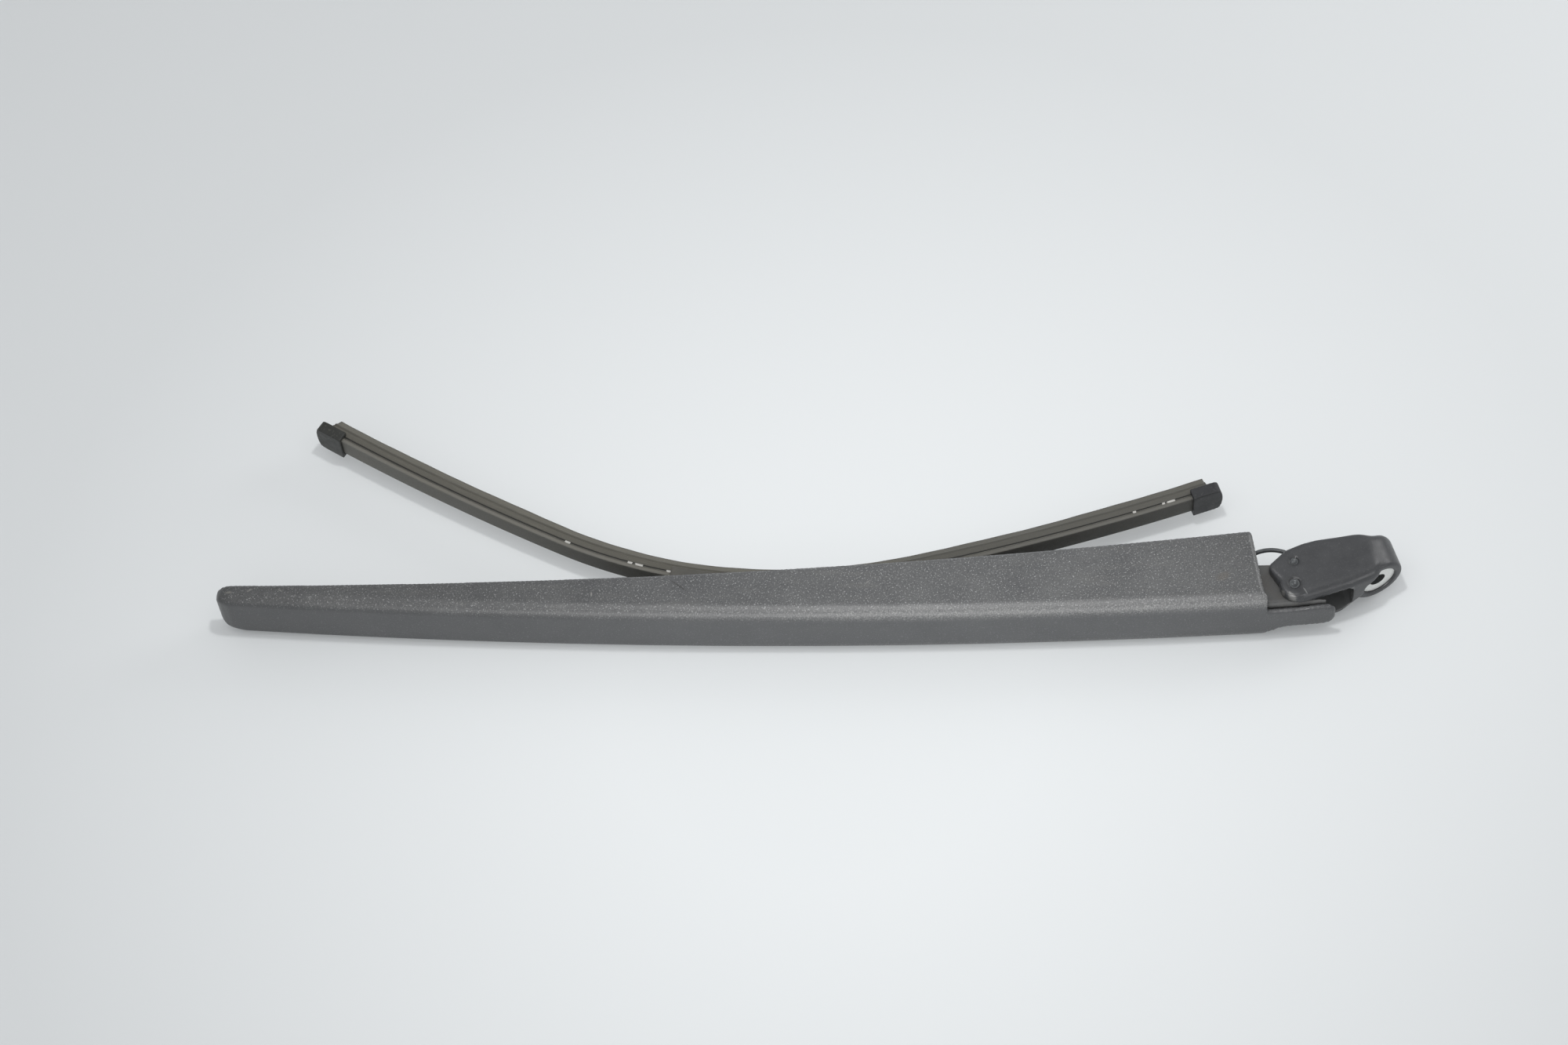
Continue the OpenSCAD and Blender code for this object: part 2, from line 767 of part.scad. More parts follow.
// Sweeps a blade section along an outer stretch, from one length to another past the bend
module blade_end(side, from_len, to_len) {
    turn = to_len / end_r * 180 / PI;
    skip = from_len / end_r * 180 / PI;
    c = [(mid_r - end_r) * sin(mid_half_angle), mid_c - (mid_r - end_r) * cos(mid_half_angle)];
    mirror([side < 0 ? 1 : 0, 0, 0])
        translate([c[0], c[1], 0])
            rotate([0, 0, 270 + mid_half_angle + skip])
                rotate_extrude(angle = turn - skip, $fn = 3600)
                    translate([end_r, 0])
                        mirror([1, 0])
                            children();
}

// Flat band of a blade section, from depth a to depth b, drawn in by g on every side
module band(a, b, half_w, g) {
    translate([a + g, -half_w + g])
        square([b - a - 2 * g, 2 * (half_w - g)]);
}

// Section of the rubber: back, core between the rails, lower head, neck and lip
module rubber_section(g) {
    shoulder = lip_top + 0.7;
    tail = rubber_h - 2 * g;
    band(0, back_t, back_half_w, g);
    band(0, low_top + 0.5, core_half_w, g);
    band(low_top, low_top + low_t, low_half_w, g);
    band(low_top, lip_top + 0.3, neck_half_w, g);
    polygon([
        [lip_top + g, -lip_half_w + g], [lip_top + g, lip_half_w - g],
        [shoulder - g, lip_half_w - g], [tail, lip_edge_half_w - g],
        [tail, -lip_edge_half_w + g], [shoulder - g, -lip_half_w + g]
    ]);
}

module wiper_rubber() {
    color("#4d4b44")
    on_blade() {
        blade_middle(mid_len + tip_stretch, mid_len + root_stretch)
            rubber_section(0);
        blade_end(-1, 0, tip_stretch)
            rubber_section(step);
        blade_end(1, 0, root_stretch)
            rubber_section(step);
    }
}

// One spring-steel rail, in the slot on one side of the rubber
module rail(side) {
    on_blade() {
        blade_middle(mid_len + tip_stretch, mid_len + root_stretch)
            rail_section(side, 0);
        blade_end(-1, 0, tip_stretch)
            rail_section(side, step);
        blade_end(1, 0, root_stretch)
            rail_section(side, step);
    }
}

module rail_section(side, g) {
    translate([rail_top + g, (side > 0 ? rail_out - rail_w : -rail_out) + g])
        square([rail_t - 2 * g, rail_w - 2 * g]);
}

module rail_upper() {
    color("#6f6e69")
    rail(1);
}

module rail_lower() {
    color("#6f6e69")
    rail(-1);
}

// Space that the rubber and the rails take up inside a cap or the base
module rubber_space(depth) {
    translate([-seat_gap, -back_half_w - seat_gap])
        square([low_top + seat_gap, 2 * (back_half_w + seat_gap)]);
    translate([0, -low_half_w - seat_gap])
        square([depth + 3, 2 * (low_half_w + seat_gap)]);
}

// Places children at the rubber's end: +X outwards along the back, +Y into the rubber
module at_blade_end(side, stretch) {
    turn = mid_half_angle + stretch / end_r * 180 / PI;
    c = [(mid_r - end_r) * sin(mid_half_angle), mid_c - (mid_r - end_r) * cos(mid_half_angle)];
    on_blade()
        mirror([side < 0 ? 1 : 0, 0, 0])
            translate([c[0], c[1], 0])
                rotate([0, 0, turn])
                    translate([0, -end_r, 0])
                        children();
}

// Outline of an end cap's back, with a curved outer end
module cap_outline() {
    r = 3;
    intersection() {
        union() {
            translate([cap_over - cap_len, -cap_half_w])
                square([cap_len - r, 2 * cap_half_w]);
            translate([cap_over - cap_len, -cap_half_w + r])
                square([cap_len, 2 * (cap_half_w - r)]);
            for (z = [-1, 1])
                translate([cap_over - r, z * (cap_half_w - r)])
                    circle(r);
        }
        translate([cap_over - cap_end_r, 0])
            circle(cap_end_r, $fn = 96);
    }
}

// End cap over the last stretch of the rubber, open towards the lip
module end_cap(side, stretch) {
    at_blade_end(side, stretch)
        difference() {
            rotate([90, 0, 0])
                translate([0, 0, -cap_depth])
                    linear_extrude(cap_depth + cap_proud)
                        cap_outline();
            translate([-cap_len, -seat_gap, -back_half_w - seat_gap])
                cube([cap_len + 0.2, low_top + seat_gap, 2 * (back_half_w + seat_gap)]);
            translate([-cap_len, 0, -low_half_w - seat_gap])
                cube([cap_len + 0.2, far, 2 * (low_half_w + seat_gap)]);
        }
}

module end_cap_tip() {
    color("#4f5151")
    end_cap(-1, tip_stretch);
}

module end_cap_root() {
    color("#3c3d3e")
    end_cap(1, root_stretch);
}

module blade_base() {
    claw_t = 1.1;
    color("#2b2c2d")
    on_blade()
        difference() {
            blade_middle(base_len / 2, base_len / 2)
                translate([-base_proud, -base_half_w])
                    square([base_proud + low_top + claw_t, 2 * base_half_w]);
            blade_middle(base_len / 2 + 1, base_len / 2 + 1)
                rubber_space(claw_t);
        }
}

// Clip that snaps on the blade pin and stands on the base
module blade_clip() {
    foot_y = blade_drop - base_proud - seat_gap;
    mouth = blade_pin_d * 0.8;
    color("#2b2c2d")
    on_blade()
        difference() {
            union() {
                z_pin(2 * clip_r, clip_half_w);
                translate([-clip_r, 0, -clip_half_w])
                    cube([2 * clip_r, foot_y, 2 * clip_half_w]);
                intersection() {
                    translate([-clip_len / 2, foot_y - 2.4, -clip_half_w])
                        cube([clip_len, 4, 2 * clip_half_w]);
                    translate([0, mid_c, 0])
                        z_pin(4 * mid_r, clip_half_w);
                }
            }
            z_pin(blade_pin_d + 2 * fit, far);
            translate([-mouth / 2, -far, -far])
                cube([mouth, far, 2 * far]);
            // underside follows the base
            difference() {
                translate([-far, foot_y - 0.2, -far])
                    cube([2 * far, far, 2 * far]);
                translate([0, mid_c, 0])
                    z_pin(2 * far, far);
            }
        }
}

mounting_head();
spindle_insert();
hinge_pin();
spring_pin();
spring_hook();
tension_spring();
arm_cover();
hinge_bracket();
hinge_bush_upper();
hinge_bush_lower();
stud_retainers();
spring_anchor_pin();
blade_pin();
blade_clip();
blade_base();
wiper_rubber();
rail_upper();
rail_lower();
end_cap_tip();
end_cap_root();
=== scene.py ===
import math

import bmesh
import bpy
from mathutils import Matrix, Vector


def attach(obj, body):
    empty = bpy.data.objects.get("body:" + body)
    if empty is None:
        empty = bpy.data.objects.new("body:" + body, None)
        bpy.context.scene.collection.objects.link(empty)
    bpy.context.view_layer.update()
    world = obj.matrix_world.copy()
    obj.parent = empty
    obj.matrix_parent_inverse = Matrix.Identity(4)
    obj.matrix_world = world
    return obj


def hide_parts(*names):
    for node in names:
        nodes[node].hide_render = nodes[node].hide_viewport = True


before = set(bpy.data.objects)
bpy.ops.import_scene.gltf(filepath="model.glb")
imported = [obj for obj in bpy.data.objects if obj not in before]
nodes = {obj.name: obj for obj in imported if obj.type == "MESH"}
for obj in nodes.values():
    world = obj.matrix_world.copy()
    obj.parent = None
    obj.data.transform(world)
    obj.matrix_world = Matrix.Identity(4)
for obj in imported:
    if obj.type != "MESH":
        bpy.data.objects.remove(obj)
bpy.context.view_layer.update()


def corners(b):
    return [list(map(float, b[0])), list(map(float, b[1]))]


MM = 0.001

# Frames of part.scad, in millimetres
HINGE = Vector((-32.5, 8.0))
FOLD = math.radians(-28)
BLADE_PIN = Vector((-218.4, -5.0))
TILT = math.radians(-5.8)
PULL_START = Vector((0.1675, 9.5985))
PULL_TURN = math.radians(3.75)
FLOOR_Z = -13.5

# Arch of the arm's outer face and the bend at its root, in the arm's own frame
ARM_LEN = 415.0
ARM_HALF = 13.5
CREASE_R = 4.2
ARCH_R = 0.5 * (ARM_LEN / (math.sqrt(6.4) + math.sqrt(7.5))) ** 2
ARCH_BACK = ARM_LEN * math.sqrt(6.4) / (math.sqrt(6.4) + math.sqrt(7.5))
ARCH_C = Vector((-ARCH_BACK, ARCH_R - 15.4))
BEND_R = 700.0
BEND_ANGLE = math.asin((ARCH_BACK - 20.0) / ARCH_R)
BEND_C = ARCH_C + (ARCH_R - BEND_R) * Vector((math.sin(BEND_ANGLE), -math.cos(BEND_ANGLE)))

# Blade curve of part.scad: a tight middle arc and two flatter ends
MID_R = 208.0
MID_ANGLE = math.radians(19.1)
MID_C = 8.9 + MID_R
MID_LEN = MID_R * MID_ANGLE
END_R = 1050.0
TIP_S = -MID_LEN - 107.0
ROOT_S = MID_LEN + 123.4


def turn2(p, a):
    c, s = math.cos(a), math.sin(a)
    return Vector((p[0] * c - p[1] * s, p[0] * s + p[1] * c))


def arm_xy(p):
    return HINGE + turn2(p, FOLD)


def blade_xy(p):
    return arm_xy(BLADE_PIN + turn2(p, TILT))


def blade_at(s, depth, z):
    """Point of the blade: s along it from the pin towards the root, depth from the back."""
    along = abs(s)
    if along <= MID_LEN:
        angle, r, c = along / MID_R, MID_R - depth, (0.0, MID_C)
    else:
        angle = MID_ANGLE + (along - MID_LEN) / END_R
        r = END_R - depth
        c = ((MID_R - END_R) * math.sin(MID_ANGLE), MID_C - (MID_R - END_R) * math.cos(MID_ANGLE))
    x = c[0] + r * math.sin(angle)
    p = blade_xy((math.copysign(x, s), c[1] - r * math.cos(angle)))
    return Vector((p[0], p[1], z)) * MM


def pull_at(x, y, z):
    """Point of the spring's pull line, with the spring pin at its start."""
    p = arm_xy(PULL_START + turn2((x, y), PULL_TURN))
    return Vector((p[0], p[1], z)) * MM


# Helpers for node materials

def srgb(r, g, b):
    def lin(c):
        c /= 255
        return c / 12.92 if c <= 0.04045 else ((c + 0.055) / 1.055) ** 2.4
    return (lin(r), lin(g), lin(b), 1.0)


def grey_level(v):
    return (v, v, v, 1.0)


class Mat:
    """A small helper round one node material."""

    def __init__(self, name, roughness=0.5, metallic=0.0, specular=0.5, coat=0.0):
        self.m = bpy.data.materials.new(name)
        self.m.use_nodes = True
        self.t = self.m.node_tree
        self.t.nodes.clear()
        self.out = self.t.nodes.new("ShaderNodeOutputMaterial")
        self.b = self.t.nodes.new("ShaderNodeBsdfPrincipled")
        self.t.links.new(self.b.outputs[0], self.out.inputs[0])
        self.b.inputs["Roughness"].default_value = roughness
        self.b.inputs["Metallic"].default_value = metallic
        self.b.inputs["Specular IOR Level"].default_value = specular
        self.b.inputs["Coat Weight"].default_value = coat
        self.coord = self.t.nodes.new("ShaderNodeTexCoord").outputs["Object"]

    def node(self, kind, **values):
        n = self.t.nodes.new(kind)
        for k, v in values.items():
            if k in n.inputs:
                n.inputs[k].default_value = v
            else:
                setattr(n, k, v)
        return n

    def put(self, value, socket):
        if hasattr(value, "links"):
            self.t.links.new(value, socket)
        else:
            socket.default_value = value

    def noise(self, scale, detail=3.0, rough=0.55, vector=None):
        n = self.node("ShaderNodeTexNoise", Scale=scale, Detail=detail, Roughness=rough)
        self.put(vector or self.coord, n.inputs["Vector"])
        return n.outputs["Fac"]

    def stretched(self, place, turn, size):
        """Coordinates round a place in mm, turned about Z and divided by a size in mm."""
        n = self.node("ShaderNodeMapping", vector_type="TEXTURE")
        n.inputs["Location"].default_value = Vector(place) * MM
        n.inputs["Rotation"].default_value = (0, 0, turn)
        n.inputs["Scale"].default_value = Vector(size) * MM
        self.put(self.coord, n.inputs["Vector"])
        return n.outputs[0]

    def run(self, index):
        """One number of a swept piece's own run: place along, depth and side, in metres."""
        a = self.node("ShaderNodeAttribute", attribute_name="run")
        n = self.node("ShaderNodeSeparateXYZ")
        self.put(a.outputs["Vector"], n.inputs[0])
        return n.outputs[index]

    def run_vector(self, x, y, z):
        """The run, scaled, for noise that follows the piece."""
        a = self.node("ShaderNodeAttribute", attribute_name="run")
        n = self.node("ShaderNodeMapping")
        n.inputs["Scale"].default_value = (x, y, z)
        self.put(a.outputs["Vector"], n.inputs["Vector"])
        return n.outputs[0]

    def ramp(self, fac, stops):
        n = self.node("ShaderNodeValToRGB")
        e = n.color_ramp.elements
        while len(e) < len(stops):
            e.new(0.5)
        for i, (pos, col) in enumerate(stops):
            e[i].position = pos
            e[i].color = col
        self.put(fac, n.inputs[0])
        return n.outputs[0]

    def grey(self, fac, a, b, lo=0.0, hi=1.0):
        n = self.node("ShaderNodeMapRange")
        for key, v in (("From Min", a), ("From Max", b), ("To Min", lo), ("To Max", hi)):
            n.inputs[key].default_value = v
        self.put(fac, n.inputs["Value"])
        return n.outputs[0]

    def mix(self, fac, a, b, blend="MIX"):
        n = self.node("ShaderNodeMix", data_type="RGBA", blend_type=blend)
        for socket, v in ((n.inputs[0], fac), (n.inputs[6], a), (n.inputs[7], b)):
            self.put(v, socket)
        return n.outputs[2]

    def maths(self, op, a, b=0.0):
        n = self.node("ShaderNodeMath", operation=op)
        self.put(a, n.inputs[0])
        self.put(b, n.inputs[1])
        return n.outputs[0]

    def spot(self, place, size, turn=0.0, soft=0.35, ragged=0.25):
        """1 inside an ellipsoid at a place in mm, with a ragged edge, else 0."""
        n = self.node("ShaderNodeVectorMath", operation="LENGTH")
        self.put(self.stretched(place, turn, size), n.inputs[0])
        edge = self.grey(self.noise(1600, 2.0), 0.2, 0.8, -ragged, ragged)
        reach = self.maths("ADD", n.outputs["Value"], edge)
        return self.grey(reach, 1.0 + soft, 1.0 - soft)

    def marks(self, base, spots):
        """Base colour with a list of (place, size, turn, colour, strength) laid over it."""
        for place, size, turn, colour, strength in spots:
            mask = self.maths("MULTIPLY", self.spot(place, size, turn), strength)
            base = self.mix(mask, base, colour)
        return base

    def color(self, c):
        self.put(c, self.b.inputs["Base Color"])

    def rough(self, r):
        self.put(r, self.b.inputs["Roughness"])

    def bump(self, height, strength, distance):
        n = self.node("ShaderNodeBump", Strength=strength, Distance=distance)
        self.put(height, n.inputs["Height"])
        self.put(n.outputs[0], self.b.inputs["Normal"])


# Materials

WALL = 13.5


def grained(k, low, high, fleck, amount=1.0, scale=1700):
    """Moulded plastic: a cloudy base with a fine grain of lighter and darker flecks."""
    cloud = k.noise(55, 4.0, 0.6)
    fine = k.noise(scale, 2.0, 0.6)
    base = k.ramp(cloud, [(0.30, low), (0.70, high)])
    light = k.maths("MULTIPLY", k.grey(fine, 0.58, 0.70), amount)
    dark = k.grey(k.noise(scale * 0.75, 2.0, 0.5), 0.44, 0.30, 0.0, 0.45 * amount)
    base = k.mix(light, base, fleck)
    return k.mix(dark, base, srgb(62, 63, 64)), fine


def arm_places(k):
    """How far a point is on the arm's outer face, and how far on its creases."""
    centre = arm_xy(ARCH_C)
    aim = k.node("ShaderNodeVectorMath", operation="SUBTRACT")
    k.put(k.coord, aim.inputs[0])
    aim.inputs[1].default_value = (centre.x * MM, centre.y * MM, 0.0)
    flat = k.node("ShaderNodeVectorMath", operation="MULTIPLY")
    k.put(aim.outputs[0], flat.inputs[0])
    flat.inputs[1].default_value = (1.0, 1.0, 0.0)
    length = k.node("ShaderNodeVectorMath", operation="LENGTH")
    k.put(flat.outputs[0], length.inputs[0])
    depth = k.maths("SUBTRACT", ARCH_R * MM, length.outputs["Value"])
    place = k.node("ShaderNodeSeparateXYZ")
    k.put(k.coord, place.inputs[0])
    side = k.maths("ABSOLUTE", place.outputs[2])
    face = k.grey(side, 0.0122, 0.0090)
    crease = k.maths("MULTIPLY", k.grey(side, 0.0080, 0.0110), k.grey(depth, 0.0056, 0.0020))
    return face, crease


def arm_plastic():
    k = Mat("arm_grained_plastic", roughness=0.42, specular=0.6)
    base, fine = grained(k, srgb(89, 90, 91), srgb(103, 104, 104), srgb(172, 173, 173))
    smear = k.noise(1.0, 3.0, 0.6, k.stretched((0, 0, 0), FOLD, (25, 4, 6)))
    base = k.mix(k.grey(smear, 0.55, 0.75, 0.0, 0.35), base, srgb(120, 120, 117))
    # painted shade: the arm is made darker towards its tip and round the hinge, where less light
    # falls
    along = k.node("ShaderNodeSeparateXYZ")
    k.put(k.coord, along.inputs[0])
    shade = k.ramp(k.grey(along.outputs[0], -0.41, 0.0), [
        (0.00, grey_level(0.62)), (0.12, grey_level(0.70)), (0.30, grey_level(0.80)),
        (0.48, grey_level(1.0)), (0.80, grey_level(1.0)), (0.88, grey_level(0.86)),
        (1.00, grey_level(0.62))])
    base = k.mix(1.0, base, shade, "MULTIPLY")
    face, crease = arm_places(k)
    flat = k.ramp(k.noise(70, 4.0, 0.6), [(0.30, srgb(88, 89, 91)), (0.70, srgb(99, 100, 102))])
    # painted shade on the outer face: darker towards the tip and the root
    painted_face_shade = k.ramp(k.grey(along.outputs[0], -0.41, 0.0), [
        (0.00, grey_level(0.50)), (0.12, grey_level(0.76)), (0.30, grey_level(0.84)),
        (0.45, grey_level(1.04)), (0.80, grey_level(1.04)), (0.90, grey_level(0.76)),
        (1.00, grey_level(0.58))])
    base = k.mix(face, base, k.mix(0.6, base, k.mix(1.0, flat, painted_face_shade, "MULTIPLY")))
    # painted highlight: a paler, flecked band along the crease, brightest a little short of the root
    painted_highlight_ramp = k.ramp(k.grey(along.outputs[0], -0.41, 0.0), [
        (0.00, grey_level(0.0)), (0.25, grey_level(0.10)), (0.45, grey_level(0.30)),
        (0.58, grey_level(0.62)), (0.78, grey_level(0.52)), (0.92, grey_level(0.45))])
    wear_and_painted_highlight = k.maths("MULTIPLY", crease, painted_highlight_ramp)
    base = k.mix(wear_and_painted_highlight, base, k.ramp(fine, [(0.35, srgb(112, 113, 114)), (0.65, srgb(176, 176, 174))]))
    base = k.marks(base, [
        ((-396.0, 196.2, WALL), (1.6, 0.4, 2), FOLD, srgb(134, 133, 128), 0.6),
        ((-388.2, 192.8, WALL), (1.1, 0.3, 2), FOLD + 0.6, srgb(130, 129, 125), 0.6),
        ((-377.7, 187.2, WALL), (0.9, 0.3, 2), FOLD - 0.5, srgb(130, 129, 125), 0.6),
        ((-240.7, 116.4, WALL), (4.4, 0.35, 2), math.radians(115.5), srgb(66, 66, 66), 0.8),
        ((-329.8, 165.6, WALL), (0.8, 0.5, 2), 0.3, srgb(66, 66, 66), 0.8),
        ((-272.0, 129.0, WALL), (0.9, 0.3, 2), 1.1, srgb(150, 149, 146), 0.7),
        ((-176.0, 84.0, WALL), (1.3, 0.25, 2), 0.2, srgb(146, 146, 143), 0.6),
        ((-55.4, 22.6, WALL), (2.6, 1.6, 3), 0.0, srgb(110, 100, 86), 0.25),
        # painted shade on the rounded end of the tip
        ((-400.5, 199.7, 8.0), (4.5, 5.0, 9), 0.0, srgb(70, 71, 71), 0.6),
    ])
    k.color(base)
    even = k.grey(fine, 0.3, 0.7, 0.29, 0.42)
    k.rough(k.maths("ADD", even, k.maths("MULTIPLY", crease, 0.16)))
    k.bump(fine, 0.30, 0.00014)
    return k.m


def black_paint():
    k = Mat("head_satin_black", roughness=0.38)
    cloud = k.noise(90, 4.0, 0.6)
    fine = k.noise(1500, 2.0, 0.6)
    base = k.ramp(cloud, [(0.30, srgb(60, 61, 63)), (0.70, srgb(68, 69, 71))])
    base = k.mix(k.grey(fine, 0.60, 0.80, 0.0, 0.5), base, srgb(104, 105, 105))
    wear_and_painted_highlight = k.grey(k.noise(520, 4.0, 0.7), 0.62, 0.72, 0.0, 0.5)
    base = k.mix(wear_and_painted_highlight, base, srgb(92, 94, 95))
    # painted light on the pocket's inner faces, which are made paler
    place = k.node("ShaderNodeSeparateXYZ")
    k.put(k.coord, place.inputs[0])
    painted_pocket_light = k.grey(k.maths("ABSOLUTE", place.outputs[2]), 0.0084, 0.0080)
    x = k.maths("SUBTRACT", place.outputs[0], HINGE[0] * MM)
    y = k.maths("SUBTRACT", place.outputs[1], HINGE[1] * MM)
    reach = k.maths("SQRT", k.maths("ADD", k.maths("MULTIPLY", x, x), k.maths("MULTIPLY", y, y)))
    painted_pocket_light = k.maths("MULTIPLY", painted_pocket_light, k.grey(reach, 0.0232, 0.0226))
    base = k.mix(painted_pocket_light, base, srgb(112, 113, 113))
    base = k.marks(base, [
        # painted shade in the recesses round the hinge pin and the spring pin
        ((HINGE[0], HINGE[1], 12), (2.7, 2.7, 1.5), 0.0, srgb(44, 45, 46), 0.9),
        ((-27.85, 16.4, 12), (2.1, 2.1, 1.5), 0.0, srgb(44, 45, 46), 0.9),
        # painted shade on the flat end of the boss below the hinge pin, then painted highlights on
        # its rounded rim and on the step beside it
        ((-32.3, 4.6, 11.5), (1.6, 1.9, 2.5), 0.5, srgb(50, 51, 53), 0.8),
        ((-35.9, 3.8, 10.3), (0.9, 2.3, 2.2), 0.3, srgb(150, 149, 146), 0.75),
        ((-38.2, 7.0, 10.5), (0.6, 1.0, 2.0), 0.3, srgb(128, 126, 122), 0.6),
        ((-30.4, 3.2, 11.6), (0.25, 1.4, 1.2), 0.1, srgb(128, 129, 129), 0.7),
        ((8.5, -0.6, -5.0), (0.8, 0.8, 2.2), 0.0, srgb(116, 118, 118), 0.5),
    ])
    k.color(base)
    k.rough(k.grey(k.noise(380, 3.0), 0.3, 0.7, 0.30, 0.42))
    k.bump(fine, 0.30, 0.00014)
    return k.m


def bare_metal():
    k = Mat("seat_bare_metal", roughness=0.4, metallic=0.15)
    turned = k.noise(1.0, 3.0, 0.6, k.stretched((0, 0, 0), 0.0, (0.5, 8, 0.5)))
    base = k.ramp(k.noise(260, 4.0, 0.6), [
        (0.30, srgb(240, 242, 238)), (0.70, srgb(250, 251, 248))])
    base = k.mix(k.grey(turned, 0.62, 0.78, 0.0, 0.5), base, srgb(140, 141, 138))
    # grease and shade in the spindle's hole
    place = k.node("ShaderNodeSeparateXYZ")
    k.put(k.coord, place.inputs[0])
    x, z = place.outputs[0], place.outputs[2]
    reach = k.maths("SQRT", k.maths("ADD", k.maths("MULTIPLY", x, x), k.maths("MULTIPLY", z, z)))
    base = k.mix(k.grey(reach, 0.0034, 0.0031), base, srgb(74, 76, 76))
    k.color(base)
    k.rough(k.grey(k.noise(600, 3.0), 0.3, 0.7, 0.34, 0.52))
    k.bump(turned, 0.25, 0.0001)
    return k.m


def steel(name, a, b, roughness, metallic=0.9):
    k = Mat(name, roughness=roughness, metallic=metallic)
    k.color(k.ramp(k.noise(350, 4.0, 0.6), [(0.30, a), (0.70, b)]))
    k.rough(k.grey(k.noise(500, 3.0), 0.3, 0.7, roughness - 0.07, roughness + 0.1))
    k.bump(k.noise(900, 2.0), 0.2, 0.0001)
    return k.m


def rusty_steel():
    k = Mat("bracket_weathered_steel", roughness=0.6, metallic=0.1)
    patches = k.noise(150, 5.0, 0.65)
    fine = k.noise(1300, 3.0, 0.6)
    base = k.ramp(patches, [
        (0.30, srgb(76, 77, 77)), (0.50, srgb(86, 86, 85)), (0.66, srgb(90, 88, 85)),
        (0.78, srgb(96, 92, 85))])
    base = k.mix(k.grey(fine, 0.60, 0.78, 0.0, 0.6), base, srgb(112, 110, 104))
    k.color(base)
    k.rough(k.grey(patches, 0.3, 0.7, 0.45, 0.68))
    k.bump(fine, 0.4, 0.0002)
    return k.m


def plastic(name, a, b, roughness, grain=1100, height=0.00016, fleck=None, specular=0.45):
    k = Mat(name, roughness=roughness, specular=specular)
    fine = k.noise(grain, 2.0)
    base = k.ramp(k.noise(140, 4.0, 0.6), [(0.30, a), (0.70, b)])
    if fleck:
        base = k.mix(k.grey(fine, 0.58, 0.76, 0.0, 0.7), base, fleck)
    k.color(base)
    k.rough(k.grey(k.noise(300, 3.0), 0.3, 0.7, roughness - 0.06, roughness + 0.08))
    k.bump(fine, 0.3, height)
    return k.m


def rubber_old():
    """Faded rubber: olive lip, painted shade in the neck groove, olive side and a paler edge of the
    back.
    """
    k = Mat("rubber_faded", roughness=0.66, specular=0.4)
    depth = k.run(1)
    fine = k.noise(1500, 3.0, 0.6)
    along = k.noise(1.0, 5.0, 0.65, k.run_vector(60, 500, 300))
    drift = k.grey(along, 0.2, 0.8, -0.0003, 0.0003)
    band = k.grey(k.maths("ADD", depth, drift), 0.0, 0.0095)
    # the dark stop near 0.56 is painted shade in the neck groove
    base = k.ramp(band, [
        (0.000, srgb(116, 115, 109)), (0.080, srgb(112, 110, 103)), (0.160, srgb(106, 104, 97)),
        (0.280, srgb(90, 88, 81)), (0.480, srgb(92, 90, 82)), (0.560, srgb(78, 76, 69)),
        (0.620, srgb(84, 82, 75)), (0.700, srgb(100, 98, 90)), (0.880, srgb(108, 106, 97)),
        (0.960, srgb(98, 96, 90))])
    dusty = k.grey(along, 0.52, 0.74, 0.0, 0.5)
    base = k.mix(dusty, base, srgb(116, 113, 103))
    base = k.mix(k.grey(fine, 0.60, 0.80, 0.0, 0.6), base, srgb(126, 123, 112))
    root = k.grey(k.run(0), 0.055, 0.075, 0.0, 0.35)
    base = k.mix(root, base, srgb(78, 78, 76))
    k.color(base)
    k.rough(k.grey(fine, 0.3, 0.7, 0.55, 0.78))
    k.bump(fine, 0.4, 0.0002)
    return k.m


# Chips in the rail's paint: place along the blade and half length, in millimetres
CHIPS = [
    (-65.7, 1.1), (-39.0, 1.0), (-35.2, 1.5), (-23.0, 0.8), (-17.0, 0.6),
    (162.1, 0.6), (173.9, 0.6), (177.0, 1.6),
]


def rail_steel():
    """Painted rail: painted shade as a thin dark line for the gap beside the rubber's head, dusty
    below, bare at its chips.
    """
    k = Mat("rail_chipped_steel", roughness=0.45, metallic=0.3)
    fine = k.noise(700, 3.0)
    s, depth = k.run(0), k.run(1)
    dust = k.ramp(k.noise(200, 4.0, 0.6), [(0.30, srgb(84, 83, 77)), (0.70, srgb(98, 96, 89))])
    # painted shade: a thin dark line for the gap beside the rubber's head
    line = k.grey(depth, 0.00195, 0.00210)
    base = k.mix(line, dust, srgb(38, 38, 36))
    ragged = k.grey(k.noise(900, 3.0), 0.25, 0.75, -0.0004, 0.0004)
    for place, half in CHIPS:
        reach = k.maths("ABSOLUTE", k.maths("SUBTRACT", s, place * MM))
        reach = k.maths("ADD", reach, ragged)
        bare = k.grey(reach, (half + 0.15) * MM, (half - 0.15) * MM)
        base = k.mix(bare, base, srgb(196, 195, 190))
    k.color(base)
    k.rough(k.grey(fine, 0.3, 0.7, 0.35, 0.6))
    k.bump(fine, 0.3, 0.0002)
    return k.m


